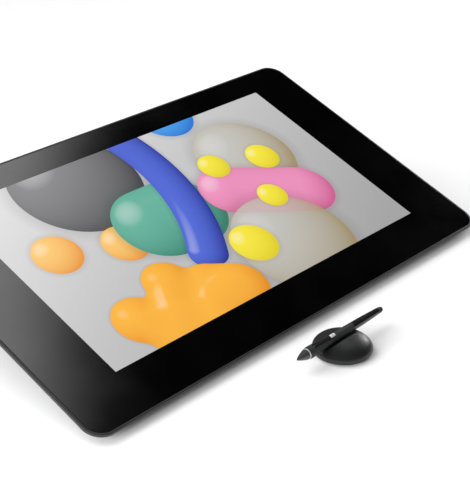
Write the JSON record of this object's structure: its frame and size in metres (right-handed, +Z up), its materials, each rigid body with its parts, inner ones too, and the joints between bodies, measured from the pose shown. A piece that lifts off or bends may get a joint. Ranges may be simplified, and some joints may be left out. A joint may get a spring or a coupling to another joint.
{
  "type": "pen display",
  "caption": "Drawing display with a glass front on a wedge-shaped body with fold-out legs, sockets and vents, and a pressure pen lying across a round domed stand.",
  "frame": {"origin": "bottom centre of the whole set on the desk: mid-width of the display, middle of the footprint from the pen stand to the back edge", "axes": "+X to the user's right along the display's long edge, +Y away from the user, +Z up"},
  "size_m": [0.677, 0.4668, 0.1453],
  "materials": {
    "cover_glass": "polished front glass",
    "border_ink": "black print behind the glass",
    "picture_panel": "liquid crystal panel",
    "backlight_tray": "white light guide tray",
    "circuit_board": "solder-masked board",
    "chassis": "sheet and heat sink",
    "bezel_frame": "satin dark grey edge",
    "rear_shell": "fine textured black",
    "rubber": "matt foot rubber",
    "steel": "stamped shells, pins and screws",
    "fan_plastic": "moulded black",
    "leg_metal": "satin dark grey",
    "pen_rubber": "soft-touch grip",
    "pen_barrel": "smooth black",
    "pen_trim": "bright metal trim",
    "stand_plastic": "satin charcoal",
    "nib_plastic": "hard nib plastic"
  },
  "bodies": {
    "display": {"cover_glass": "cover_glass", "printed_border": "border_ink", "bezel_frame": "bezel_frame", "lcd_panel": "picture_panel", "backlight_unit": "backlight_tray", "digitizer_board": "circuit_board", "chassis_plate": "chassis", "main_board": "circuit_board", "heat_sink": "chassis", "rear_cover": "rear_shell", "engine_cover": "rear_shell", "cover_screw_1": "steel", "cover_screw_2": "steel", "cover_screw_3": "steel", "cover_screw_4": "steel", "usb_socket_left_front": "steel", "usb_socket_left_rear": "steel", "usb_socket_right_front": "steel", "usb_socket_right_rear": "steel", "headphone_socket": "steel", "card_reader": "steel", "power_socket": "steel", "displayport_socket": "steel", "hdmi_socket": "steel", "usb_c_socket": "steel", "front_foot_left": "rubber", "front_foot_right": "rubber", "rear_pad_left": "rubber", "rear_pad_right": "rubber", "fan_housing_left": "fan_plastic", "fan_housing_right": "fan_plastic", "hinge_bracket_left": "steel", "hinge_bracket_right": "steel", "hinge_pin_left": "steel", "hinge_pin_right": "steel"},
    "leg_left": {"leg_left_bar": "leg_metal", "leg_left_foot": "rubber"},
    "leg_right": {"leg_right_bar": "leg_metal", "leg_right_foot": "rubber"},
    "fan_left": {"fan_rotor_left": "fan_plastic"},
    "fan_right": {"fan_rotor_right": "fan_plastic"},
    "power_button": {"power_button": "fan_plastic"},
    "stand_base": {"stand_base": "stand_plastic", "stand_foot_ring": "rubber", "nib_tray": "backlight_tray", "spare_nib_1": "nib_plastic", "spare_nib_2": "nib_plastic", "spare_nib_3": "nib_plastic", "spare_nib_4": "nib_plastic"},
    "stand_dome": {"stand_dome": "stand_plastic"},
    "pen": {"pen_cone": "pen_barrel", "pen_ring": "pen_trim", "pen_grip": "pen_rubber", "pen_barrel": "pen_barrel", "pen_circuit": "circuit_board"},
    "pen_nib": {"pen_nib": "nib_plastic"},
    "pen_eraser": {"pen_eraser": "pen_rubber"},
    "side_switch": {"side_switch": "pen_barrel", "side_switch_trim": "pen_trim"}
  },
  "joints": [
    {"name": "leg_left_fold", "type": "hinge", "parent": "display", "child": "leg_left", "pos_m": [-0.215, 0.20722, 0.09385], "axis": [1, 0, 0], "range_deg": [-81, 0]},
    {"name": "leg_right_fold", "type": "hinge", "parent": "display", "child": "leg_right", "pos_m": [0.215, 0.20722, 0.09385], "axis": [1, 0, 0], "range_deg": [-81, 0]},
    {"name": "fan_left_spin", "type": "hinge", "parent": "display", "child": "fan_left", "pos_m": [-0.142, 0.10822, 0.07929], "axis": [0, -0.342, 0.9397], "continuous": true},
    {"name": "fan_right_spin", "type": "hinge", "parent": "display", "child": "fan_right", "pos_m": [0.142, 0.10822, 0.07929], "axis": [0, -0.342, 0.9397], "continuous": true},
    {"name": "power_button_press", "type": "slide", "parent": "display", "child": "power_button", "axis": [0, -0.9397, -0.342], "range_m": [0, 0.0007], "stiffness_N_per_m": 600, "springref_m": -0.0003},
    {"name": "stand_pull_away", "type": "slide", "parent": "display", "child": "stand_base", "axis": [0, -1, 0], "range_m": [0, 0.15]},
    {"name": "stand_twist", "type": "hinge", "parent": "stand_base", "child": "stand_dome", "pos_m": [-0.0281, -0.19903, 0], "axis": [0, 0, 1], "range_deg": [0, 25]},
    {"name": "pen_lift", "type": "slide", "parent": "stand_dome", "child": "pen", "axis": [0, 0, 1], "range_m": [0, 0.12]},
    {"name": "nib_press", "type": "slide", "parent": "pen", "child": "pen_nib", "axis": [1, 0, 0], "range_m": [0, 0.0006], "stiffness_N_per_m": 300, "springref_m": -0.0003},
    {"name": "eraser_press", "type": "slide", "parent": "pen", "child": "pen_eraser", "axis": [-1, 0, 0], "range_m": [0, 0.0008], "stiffness_N_per_m": 300, "springref_m": -0.0003},
    {"name": "side_switch_rock", "type": "hinge", "parent": "pen", "child": "side_switch", "pos_m": [-0.0569, -0.19546, 0.02484], "axis": [0, 0.9703, 0.2419], "range_deg": [-2, 2], "stiffness_Nm_per_rad": 0.02}
  ]
}
